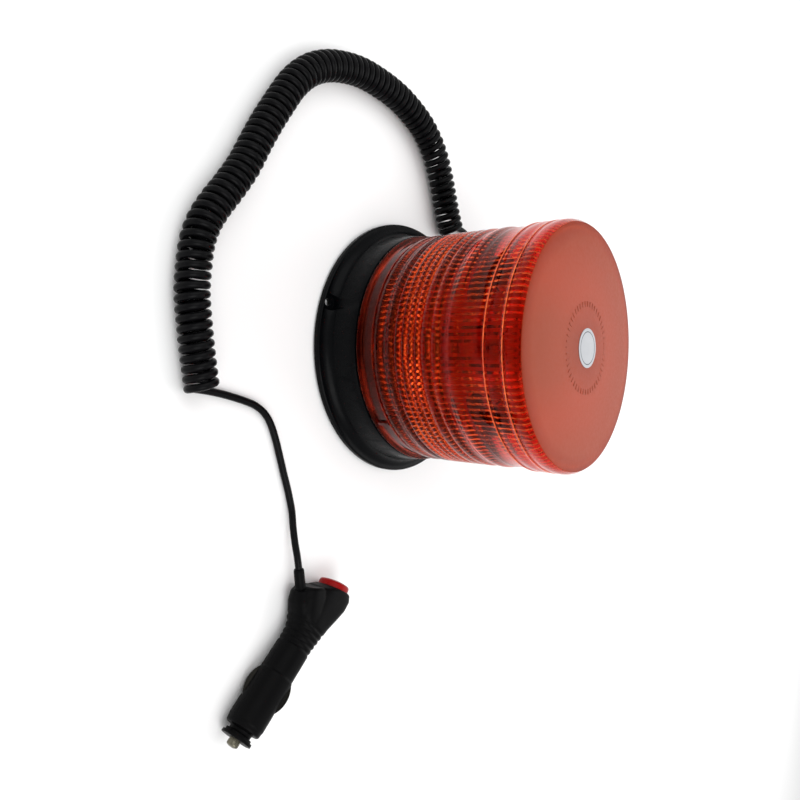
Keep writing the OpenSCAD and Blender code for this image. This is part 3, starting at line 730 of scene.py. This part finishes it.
class BEACON_OT_finishes(bpy.types.Operator):
    """Make the finishes and give each CAD node the one its slot names"""

    bl_idname = "beacon.finishes"
    bl_label = "Finishes"

    def execute(self, context):
        finishes(context.scene)
        for sub in frame["record"]["subparts"]:
            mesh = frame["nodes"][sub["node"]].data
            mesh.materials.clear()
            mesh.materials.append(FINISHES[sub["material_slot"]])
        for k in range(1, 5):
            frame["nodes"]["led_board_%d" % k].data.materials[0] = FINISHES["led_board"]
        for node in ("top_reflector", "top_board"):
            frame["nodes"][node].data.materials[0] = FINISHES["component_black"]
        return {"FINISHED"}


class BEACON_OT_cord(bpy.types.Operator):
    """Make the cord: the lead from the gland, the curly part and the stretch into the plug"""

    bl_idname = "beacon.cord"
    bl_label = "Cord"

    def execute(self, context):
        cord = context.scene.beacon_cord
        r = cord.thick / 2
        coil_r = cord.coil / 2
        curly = helix([(x, y, coil_r) for x, y in COIL_AXIS], coil_r - r, cord.turns, 24)
        lead = smooth_route([*LEAD_ROUTE, tuple(curly[0])], 0.002)
        inside = [plug_point(-0.0352, -0.0163), plug_point(-0.0318, -0.0115), plug_point(-0.0296, -0.0078)]
        tail = smooth_route([tuple(curly[-1]), *TAIL_ROUTE, plug_point(*RELIEF_AT[:2]), *inside], 0.002)
        path = np.vstack([lead[:-1], curly, tail[1:]])
        points, faces = swept(path, r, 12)
        wire = piece("cord_wire", points, faces, FINISHES["cord_rubber"], 60)
        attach(wire, "beacon")
        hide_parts("cord_lead", "cord_coil", "cord_tail")
        wire["route"] = [list(map(float, p)) for p in path]
        return {"FINISHED"}


class BEACON_OT_lens(bpy.types.Operator):
    """Make the ringed and fluted lens, its raised ticks and its label"""

    bl_idname = "beacon.lens"
    bl_label = "Lens"

    def execute(self, context):
        settings = context.scene.beacon_lens
        outer = lens_outside(settings.ring_rise)
        inner = lens_inside()
        profile = outer + inner
        fluted = range(len(outer) + 3, len(profile) - 1)
        lens = turned(
            "lens_shell",
            in_metres(profile),
            FINISHES["amber_lens"],
            480,
            settings.flutes,
            settings.flute_depth,
            fluted,
            sharp=50,
        )
        lens.data.materials.append(FINISHES["lens_top"])
        lens.data.materials.append(FINISHES["lens_highlight_line"])
        # Faces on the top get the frosted finish; faces on the moulded lines get the painted highlight.
        for face in lens.data.polygons:
            c = face.center
            out = math.hypot(c.x, c.y)
            if face.normal.z > 0.8 and c.z > 0.1295:
                face.material_index = 1
            elif out > 0.0685 and any(abs(c.z - line) < 0.0005 for line in HIGHLIGHT_LINES):
                face.material_index = 2
        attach(lens, "lens")
        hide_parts("lens")
        self.lugs(lens)
        self.ticks(settings)
        self.label()
        return {"FINISHED"}

    def lugs(self, lens):
        """Three bayonet lugs under the collar and the alignment rib on it."""
        points, faces = [], []
        for turn in (0, 120, 240):
            box(points, faces, (0.0636, 0.0662), math.radians(turn), 0.0044, (0.0285, 0.031))
        box(points, faces, (0.0684, 0.0703), math.radians(-50), 0.001, (0.0264, 0.035))
        lugs = piece("lens_lugs", points, faces, FINISHES["amber_lens"])
        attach(lugs, "lens")

    def ticks(self, settings):
        """Raised ticks in a ring round the label."""
        tree = bars_tree()
        values = {
            "Count": settings.ticks,
            "Radius": 0.0242,
            "Bar": (0.0030, 0.0007, 0.0005),
            "Height": 0.13242,
            "Finish": FINISHES["lens_top"],
        }
        ticks = from_tree(tree, "lens_ticks", values)
        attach(ticks, "lens")

    def label(self):
        low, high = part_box("lens_label")
        r, t = high.x, high.z - low.z
        profile = [(0.0, low.z), (r - t / 3, low.z), (r, low.z + t / 3)]
        profile += arc((r - t / 2, high.z - t / 2), t / 2, 0, 90, 5) + [(0.0, high.z)]
        label = turned("label", profile, FINISHES["label_white"], 96, closed=False)
        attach(label, "lens")
        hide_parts("lens_label")


def box(points, faces, radial, turn, half, heights):
    """Adds a block at that azimuth, from its radial span, half width and heights."""
    first = len(points)
    c, s = math.cos(turn), math.sin(turn)
    for z in heights:
        for x, y in ((radial[0], -half), (radial[1], -half), (radial[1], half), (radial[0], half)):
            points.append((x * c - y * s, x * s + y * c, z))
    for f in ((3, 2, 1, 0), (4, 5, 6, 7), (0, 1, 5, 4), (1, 2, 6, 5), (2, 3, 7, 6), (3, 0, 4, 7)):
        faces.append(tuple(first + k for k in f))


# Heights of the moulded lines that are painted bright, a painted highlight.
HIGHLIGHT_LINES = (0.1095, 0.1203)


def lens_outside(rise):
    """The lens's outer profile from its foot up to the middle of the top face, in millimetres."""
    rise = rise / MM
    out = [(66.2, 25.4), (71.1, 25.4), (71.45, 25.7), (71.45, 26.1), (71.1, 26.4), (69.3, 26.5), (68.9, 26.9)]
    out += [(68.9, 30.5), (68.9, 35.2), (69.6, 35.3), (69.7, 35.6), (69.6, 35.9)]
    rings = [(36, 42.3), (45.2, 51), (51, 56), (56, 60.4), (60.4, 64.6), (64.6, 69.2), (69.2, 76), (76, 82)]
    rings += [(85.6, 93.4)]
    for low, high in rings:
        for k in range(9):
            t = k / 8
            out.append((68.9 + 0.02 * k + rise * math.sin(math.pi * t) ** 0.7, low + (high - low) * t))
    out += [(69.0, 97.0), (69.5, 97.3), (69.5, 97.8), (69.1, 99.0), (69.0, 103.0), (69.1, 107.5), (69.6, 109.2)]
    for low, high in [(109.2, 120.0), (120.0, 129.2)]:
        out += [(70.5, low), (70.75, low + 0.15), (70.75, low + 0.45), (70.5, low + 0.6)]
        for k in range(1, 8):
            t = k / 8
            out.append((69.9 + 0.9 * math.sin(math.pi * t), low + 0.6 + (high - low - 0.9) * t))
    out += [(69.1, 129.4), (68.8, 129.9), (68.2, 130.1), (66.0, 130.4)]
    out += [(55.0, 131.3), (40.0, 132.05), (24.0, 132.5), (12.0, 132.79), (0.0, 132.8)]
    return out


def lens_inside():
    """The inner profile from the middle of the top face down to the foot, in millimetres."""
    return [
        (0.0, 130.3), (40.0, 129.5), (62.0, 128.2), (65.0, 127.4), (66.0, 125.5),
        (66.0, 120.0), (66.0, 109.0), (66.0, 93.0), (66.0, 80.0), (66.0, 66.0), (66.0, 53.5),
        (66.0, 42.0), (66.0, 36.0), (66.1, 34.0),
    ]


class BEACON_OT_base(bpy.types.Operator):
    """Round the edges of the base's mouldings and its fixings"""

    bl_idname = "beacon.base"
    bl_label = "Base"

    def execute(self, context):
        for node, slot, edge in [
            ("base_housing", "housing_plastic", 0.00045),
            ("magnet_cup", "cup_steel", 0.0005),
            ("bottom_plate", "plate_steel", 0.0003),
            ("magnet_pad", "pad_rubber", 0.0004),
            ("plate_screws", "screw_steel", 0.00015),
            ("gland_nut", "screw_steel", 0.0004),
        ]:
            made = copied(node, node + "_rounded", FINISHES[slot], edge)
            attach(made, "beacon")
        self.boot()
        return {"FINISHED"}

    def boot(self):
        """The cable gland with a ribbed boot."""
        profile = [(0.0, 60.0), (4.0, 60.0), (4.0, 76.0), (6.3, 76.0), (6.5, 76.2), (6.5, 78.6), (6.2, 79.0)]
        ribs = 5
        for k in range(ribs):
            low = 79.4 + k * 2.4
            r = 4.8 - 1.7 * k / ribs
            profile += [(r, low), (r, low + 1.3), (r - 0.55, low + 1.5), (r - 0.55, low + 2.2)]
        profile += [(2.9, 91.6), (2.6, 92.0), (0.0, 92.0)]
        boot = turned("cord_boot", in_metres(profile), FINISHES["cord_rubber"], 48, closed=False)
        turn = Matrix.Rotation(math.radians(105), 4, "Z") @ Matrix.Rotation(math.pi / 2, 4, "Y")
        place(boot, Matrix.Translation((0, 0, 0.016)) @ turn)
        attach(boot, "beacon")
        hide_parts("cable_gland")


class BEACON_OT_plug(bpy.types.Operator):
    """Make the plug's two shells with their grip, and the relief, button, nut and tip"""

    bl_idname = "beacon.plug"
    bl_label = "Plug"

    def execute(self, context):
        self.shells()
        self.relief()
        self.button()
        self.nut()
        self.tip()
        self.strips()
        self.spring()
        return {"FINISHED"}

    def shells(self):
        """One smooth body, hollowed for the button and the contacts, then split along z = 0."""
        solid = joined(
            [
                lofted(HEAD_STATIONS),
                lofted(CORD_BOSS_STATIONS),
                lofted(WEB_STATIONS),
                lofted(BARREL_STATIONS),
            ]
        )
        body = bpy.data.objects.new("plug_body", solid)
        bpy.context.scene.collection.objects.link(body)
        voxel = body.modifiers.new("One skin", "REMESH")
        voxel.mode = "VOXEL"
        voxel.voxel_size = 0.00045
        soft = body.modifiers.new("Softened", "SMOOTH")
        soft.factor = 0.5
        soft.iterations = 4
        body = baked(body, "plug_body", FINISHES["plug_plastic"], 60)
        grip_grooves(body.data)
        cutters = [
            drum(BUTTON_AT, BUTTON_TURN, 0.0095, -0.006, 0.008),
            slab((0.0037, 0.0233), (0.0066, 0.014), 0.0028),
            slab((0.0037, 0.0233), (-0.014, -0.0066), 0.0028),
        ]
        for shape in cutters:
            body = cut(body, shape, "plug_body", FINISHES["plug_plastic"])
        for side in ("upper", "lower"):
            half = split(body, "plug_half_" + side, side == "upper")
            place(half, Matrix.Translation(Vector(PLUG_AT)) @ Matrix.Rotation(PLUG_TURN, 4, "Z"))
            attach(half, "beacon")
            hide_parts("plug_shell_" + side)
        bpy.data.objects.remove(body)

    def relief(self):
        """The tapered strain relief, with a step at its foot."""
        profile = [(0.0, -5.0), (4.2, -5.0), (4.2, -3.0), (3.2, -3.0), (3.2, -0.2), (3.35, 0.3), (3.3, 1.2)]
        profile += [(3.05, 1.6), (3.02, 6.0), (2.95, 10.5), (2.85, 11.5), (2.6, 12.0), (0.0, 12.0)]
        relief = turned("cord_relief", in_metres(profile), FINISHES["plug_plastic"], 48, closed=False)
        place(relief, plug_place(RELIEF_AT, RELIEF_TURN))
        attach(relief, "beacon")
        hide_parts("strain_relief")

    def button(self):
        """The domed push button on its stem."""
        profile = [(0.0, -6.0), (3.0, -6.0), (3.0, -2.8), (8.9, -2.8), (9.2, -2.5), (9.2, 1.9)]
        profile += arc((7.5, 1.9), 1.7, 8, 72, 7)
        profile += [(5.5, 4.15), (2.8, 4.5), (0.0, 4.6)]
        button = turned("push_button", in_metres(profile), FINISHES["switch_red"], 72, closed=False)
        place(button, plug_place(BUTTON_AT, BUTTON_TURN))
        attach(button, "button")
        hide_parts("switch_button")

    def nut(self):
        nut = copied("ring_nut", "nut_ring", FINISHES["plug_plastic"], 0.00035)
        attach(nut, "nut")

    def tip(self):
        """The tip contact with its collar and a rounded nose."""
        profile = [(0.0, 38.4), (4.1, 38.4), (4.1, 40.3), (3.3, 40.3), (3.3, 41.9), (3.15, 42.05), (3.15, 42.35)]
        profile += [(3.3, 42.5), (3.3, 44.1)] + arc((2.2, 44.1), 1.1, 10, 60, 5)
        profile += [(1.9, 45.3), (1.4, 45.5), (0.0, 45.5)]
        tip = turned("tip_pin", in_metres(profile), FINISHES["contact_metal"], 64, closed=False)
        place(tip, plug_place())
        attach(tip, "tip")
        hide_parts("tip_contact")

    def strips(self):
        """The two bowed side contacts, with skirts that reach down into their slots."""
        for side, hand in ((-1, "left"), (1, "right")):
            node, body = "side_contact_" + hand, hand + "_contact"
            outline = arc((0.0135, -0.0025), 0.015, 53.13, 126.87, 25) + [(0.0045, 0.0086), (0.0225, 0.0086)]
            points = [(x, side * y, z) for z in (-0.0025, 0.0025) for x, y in outline]
            n = len(outline)
            faces = [tuple(range(n)), tuple(range(n, 2 * n))]
            faces += [(k, (k + 1) % n, n + (k + 1) % n, n + k) for k in range(n)]
            made = piece(node + "_strip", points, faces, FINISHES["side_strip"])
            edge = made.modifiers.new("Rounded edges", "BEVEL")
            edge.width = 0.0004
            edge.segments = 3
            edge.limit_method = "ANGLE"
            edge.angle_limit = math.radians(40)
            made = baked(made, node + "_strip", FINISHES["side_strip"], 40)
            place(made, Matrix.Rotation(CONTACT_ROLL, 4, "X"))
            place(made, Matrix.Translation(Vector(PLUG_AT)) @ Matrix.Rotation(PLUG_TURN, 4, "Z"))
            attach(made, body)
            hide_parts(node)

    def spring(self):
        """The coil spring behind the fuse, copied as it stands; the real one shortens as the tip goes in."""
        spring = copied("tip_spring", "fuse_spring", FINISHES["spring_steel"], 0.0, sharp=60)
        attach(spring, "beacon")
        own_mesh(spring)


# Stations of the plug's skin: centre x and y, turn in degrees, half width, half height, squareness.
HEAD_STATIONS = [
    (4.8, 0.0, 180.0, 9.9, 9.9, 2.0),
    (-14.0, 0.0, 180.0, 9.8, 9.8, 2.0),
    (-22.0, -0.1, 181.0, 10.6, 10.1, 2.2),
    (-30.0, -0.2, 182.0, 11.5, 10.2, 2.5),
    (-38.0, 0.4, 185.0, 13.0, 10.3, 2.9),
    (-43.5, 0.8, 188.0, 14.2, 10.3, 3.1),
    (-48.6, 1.2, 192.0, 13.6, 10.3, 3.0),
    (-51.4, 1.7, 195.7, 11.6, 10.2, 2.4),
    (-52.5, 1.9, 195.7, 10.3, 10.0, 2.0),
]
CORD_BOSS_STATIONS = [
    (-24.0, -3.0, 235.1, 8.0, 8.8, 2.2),
    (-29.5, -8.5, 235.1, 7.6, 8.6, 2.4),
    (-34.4, -15.2, 235.1, 6.6, 7.6, 2.6),
    (-37.3, -19.3, 235.1, 4.9, 6.0, 2.4),
    (-37.8, -20.1, 235.1, 4.2, 5.2, 2.2),
]
WEB_STATIONS = [
    (-22.0, -1.0, 215.0, 9.0, 9.2, 2.3),
    (-32.0, -6.6, 215.0, 10.0, 9.9, 2.6),
    (-39.5, -11.6, 215.0, 9.6, 9.6, 2.8),
    (-42.6, -13.6, 215.0, 8.6, 8.6, 2.6),
    (-43.6, -14.3, 215.0, 6.6, 7.4, 2.3),
]
BARREL_STATIONS = [
    (4.0, 0.0, 0.0, 9.6, 9.6, 2.0),
    (5.2, 0.0, 0.0, 10.5, 10.5, 2.0),
    (32.6, 0.0, 0.0, 10.5, 10.5, 2.0),
    (33.0, 0.0, 0.0, 10.1, 10.1, 2.0),
    (34.8, 0.0, 0.0, 10.1, 10.1, 2.0),
    (35.6, 0.0, 0.0, 9.8, 9.8, 2.0),
    (36.0, 0.0, 0.0, 9.3, 9.3, 2.0),
    (36.2, 0.0, 0.0, 6.4, 6.4, 2.0),
    (38.3, 0.0, 0.0, 6.4, 6.4, 2.0),
    (38.5, 0.0, 0.0, 5.6, 5.6, 2.0),
    (40.3, 0.0, 0.0, 5.5, 5.5, 2.0),
]


def lofted(stations, sides=64):
    """A closed mesh through rounded sections in the plug's frame."""
    table = np.array(stations, float)
    points, faces = [], []
    for x, y, turn, wide, tall, square in table:
        a = math.radians(turn)
        side = np.array([-math.sin(a), math.cos(a), 0.0])
        for k in range(sides):
            t = 2 * math.pi * k / sides
            c, s = math.cos(t), math.sin(t)
            u = math.copysign(abs(c) ** (2 / square), c) * wide
            v = math.copysign(abs(s) ** (2 / square), s) * tall
            points.append(MM * (np.array([x, y, 0.0]) + side * u + UP * v))
    last = len(table) - 1
    for i in range(last):
        for k in range(sides):
            n = (k + 1) % sides
            faces.append((i * sides + k, i * sides + n, (i + 1) * sides + n, (i + 1) * sides + k))
    faces.append(tuple(range(sides))[::-1])
    faces.append(tuple(last * sides + k for k in range(sides)))
    return points, faces


def joined(parts):
    """One mesh that holds several closed shells."""
    points, faces = [], []
    for p, f in parts:
        shell = bmesh.new()
        verts = [shell.verts.new(q) for q in p]
        for face in f:
            shell.faces.new([verts[k] for k in face])
        bmesh.ops.recalc_face_normals(shell, faces=shell.faces)
        shell.verts.index_update()
        first = len(points)
        points += [tuple(v.co) for v in shell.verts]
        faces += [tuple(first + v.index for v in face.verts) for face in shell.faces]
        shell.free()
    mesh = bpy.data.meshes.new("plug_solid")
    mesh.from_pydata(points, [], faces)
    return mesh


def grip_grooves(mesh):
    """Presses five soft grooves round the neck."""
    middles = np.array([-12.6, -15.8, -19.0, -22.2, -25.4]) * MM
    for v in mesh.vertices:
        deep = 0.00055 * np.exp(-(((v.co.x - middles) / 0.0008) ** 2)).sum()
        away = Vector((0.0, v.co.y, v.co.z))
        if away.length > 0.004 and -0.03 < v.co.x < -0.009:
            v.co -= away.normalized() * float(deep)
    mesh.update()


def drum(at, turn, radius, low, high, sides=96):
    """A cylinder that cuts the button's seat."""
    way = np.array([math.cos(turn), math.sin(turn), 0.0])
    start = np.array([at[0], at[1], 0.0])
    return swept([start + way * low, start + way * high], radius, sides)


def slab(span, side, half):
    """A block that cuts a contact's slot, rolled about the plug's axis."""
    c, s = math.cos(CONTACT_ROLL), math.sin(CONTACT_ROLL)
    corners = ((span[0], side[0]), (span[1], side[0]), (span[1], side[1]), (span[0], side[1]))
    points = [(x, y * c - z * s, y * s + z * c) for z in (-half, half) for x, y in corners]
    faces = [(3, 2, 1, 0), (4, 5, 6, 7), (0, 1, 5, 4), (1, 2, 6, 5), (2, 3, 7, 6), (3, 0, 4, 7)]
    return points, faces


def cut(body, shape, name, finish):
    """The body less a closed shape."""
    tool = piece("cutter", *shape, None)
    trim = body.modifiers.new("Cut", "BOOLEAN")
    trim.operation = "DIFFERENCE"
    trim.solver = "EXACT"
    trim.object = tool
    body = baked(body, name, finish, 40)
    bpy.data.objects.remove(tool)
    return body


def split(body, name, upper):
    """The half of the body above or below z = 0, closed along the split."""
    shape = bmesh.new()
    shape.from_mesh(body.data)
    gap = 0.00004 if upper else -0.00004
    everything = list(shape.verts) + list(shape.edges) + list(shape.faces)
    cuts = bmesh.ops.bisect_plane(
        shape, geom=everything, plane_co=(0, 0, gap), plane_no=(0, 0, 1), clear_inner=upper, clear_outer=not upper
    )
    rim = [e for e in cuts["geom_cut"] if isinstance(e, bmesh.types.BMEdge)]
    bmesh.ops.holes_fill(shape, edges=rim)
    mesh = bpy.data.meshes.new(name)
    shape.to_mesh(mesh)
    shape.free()
    mesh.materials.append(body.data.materials[0])
    return finished(name, mesh, body.data.materials[0], 40)


class BEACON_OT_cord_facts(bpy.types.Operator):
    bl_idname = "beacon.cord_facts"
    bl_label = "Cord facts"

    def execute(self, context):
        wire = bpy.data.objects["cord_wire"]
        del wire["route"]
        return {"FINISHED"}


class BEACON_OT_stage(bpy.types.Operator):
    """Lay the floor, hang the lights and set the camera"""

    bl_idname = "beacon.stage"
    bl_label = "Stage"

    def execute(self, context):
        scene = context.scene
        self.floor(scene)
        self.lights(scene)
        self.camera(scene)
        return {"FINISHED"}

    def floor(self, scene):
        f = Finish("pale_floor")
        tone = tuple(scene.beacon_body.floor)
        f.set(Base_Color=f.blend(f.noise(3.0), shade(tone, 0.995), tone), Roughness=0.85, Specular_IOR_Level=0.2)
        half = 12.0
        corners = [(-half, -half, -0.0003), (half, -half, -0.0003), (half, half, -0.0003), (-half, half, -0.0003)]
        floor = piece("floor", corners, [(0, 1, 2, 3)], f.material)

    def lights(self, scene):
        world = bpy.data.worlds.new("Soft room")
        world.use_nodes = True
        world.node_tree.nodes["Background"].inputs["Color"].default_value = (1.0, 1.0, 1.0, 1.0)
        world.node_tree.nodes["Background"].inputs["Strength"].default_value = 0.76
        scene.world = world
        for name, place_at, size, power in [
            ("Key", (0.9, -0.9, 1.5), 1.3, 17.0),
            ("Fill", (-1.2, -0.5, 1.3), 1.6, 10.0),
            ("Back", (0.2, 1.3, 1.1), 1.4, 10.0),
        ]:
            light = bpy.data.lights.new(name, "AREA")
            light.size = size
            light.energy = power
            lamp = bpy.data.objects.new(name, light)
            lamp.location = place_at
            lamp.rotation_euler = (-Vector(place_at)).to_track_quat("-Z", "Y").to_euler()
            scene.collection.objects.link(lamp)
        scene.view_settings.view_transform = "Standard"

    def camera(self, scene):
        lens = bpy.data.cameras.new("Camera")
        lens.lens = 31.43
        lens.sensor_width = 36.0
        lens.clip_start = 0.01
        camera = bpy.data.objects.new("Camera", lens)
        right = Vector((-0.00730608, 0.62866665, 0.77764058))
        up = Vector((-0.99819887, 0.04172228, -0.04310774))
        back = right.cross(up)
        turn = Matrix((right, up, back)).transposed().to_4x4()
        camera.matrix_world = Matrix.Translation((0.006347, -0.365523, 0.295481)) @ turn
        scene.collection.objects.link(camera)
        scene.camera = camera


class BEACON_PT_panel(bpy.types.Panel):
    """Sizes, colours and steps of the beacon"""

    bl_idname = "BEACON_PT_panel"
    bl_label = "Beacon"
    bl_space_type = "VIEW_3D"
    bl_region_type = "UI"
    bl_category = "Beacon"

    def draw(self, context):
        scene = context.scene
        for title, group in (("Lens", scene.beacon_lens), ("Cord", scene.beacon_cord), ("Body", scene.beacon_body)):
            part = self.layout.box()
            part.label(text=title)
            for name in group.__annotations__:
                part.prop(group, name)
        for step in STEPS:
            self.layout.operator("beacon." + step)


STEPS = ["finishes", "cord", "lens", "base", "plug", "cord_facts", "stage"]
CLASSES = [
    BeaconLensSettings,
    BeaconCordSettings,
    BeaconBodySettings,
    BEACON_OT_finishes,
    BEACON_OT_cord,
    BEACON_OT_lens,
    BEACON_OT_base,
    BEACON_OT_plug,
    BEACON_OT_cord_facts,
    BEACON_OT_stage,
    BEACON_PT_panel,
]


def register():
    for made in CLASSES:
        bpy.utils.register_class(made)
    bpy.types.Scene.beacon_lens = PointerProperty(type=BeaconLensSettings)
    bpy.types.Scene.beacon_cord = PointerProperty(type=BeaconCordSettings)
    bpy.types.Scene.beacon_body = PointerProperty(type=BeaconBodySettings)


def unregister():
    del bpy.types.Scene.beacon_lens
    del bpy.types.Scene.beacon_cord
    del bpy.types.Scene.beacon_body
    for made in reversed(CLASSES):
        bpy.utils.unregister_class(made)


def main():
    register()
    for step in STEPS:
        getattr(bpy.ops.beacon, step)()
    bpy.context.view_layer.update()


if __name__ == "__main__":
    main()
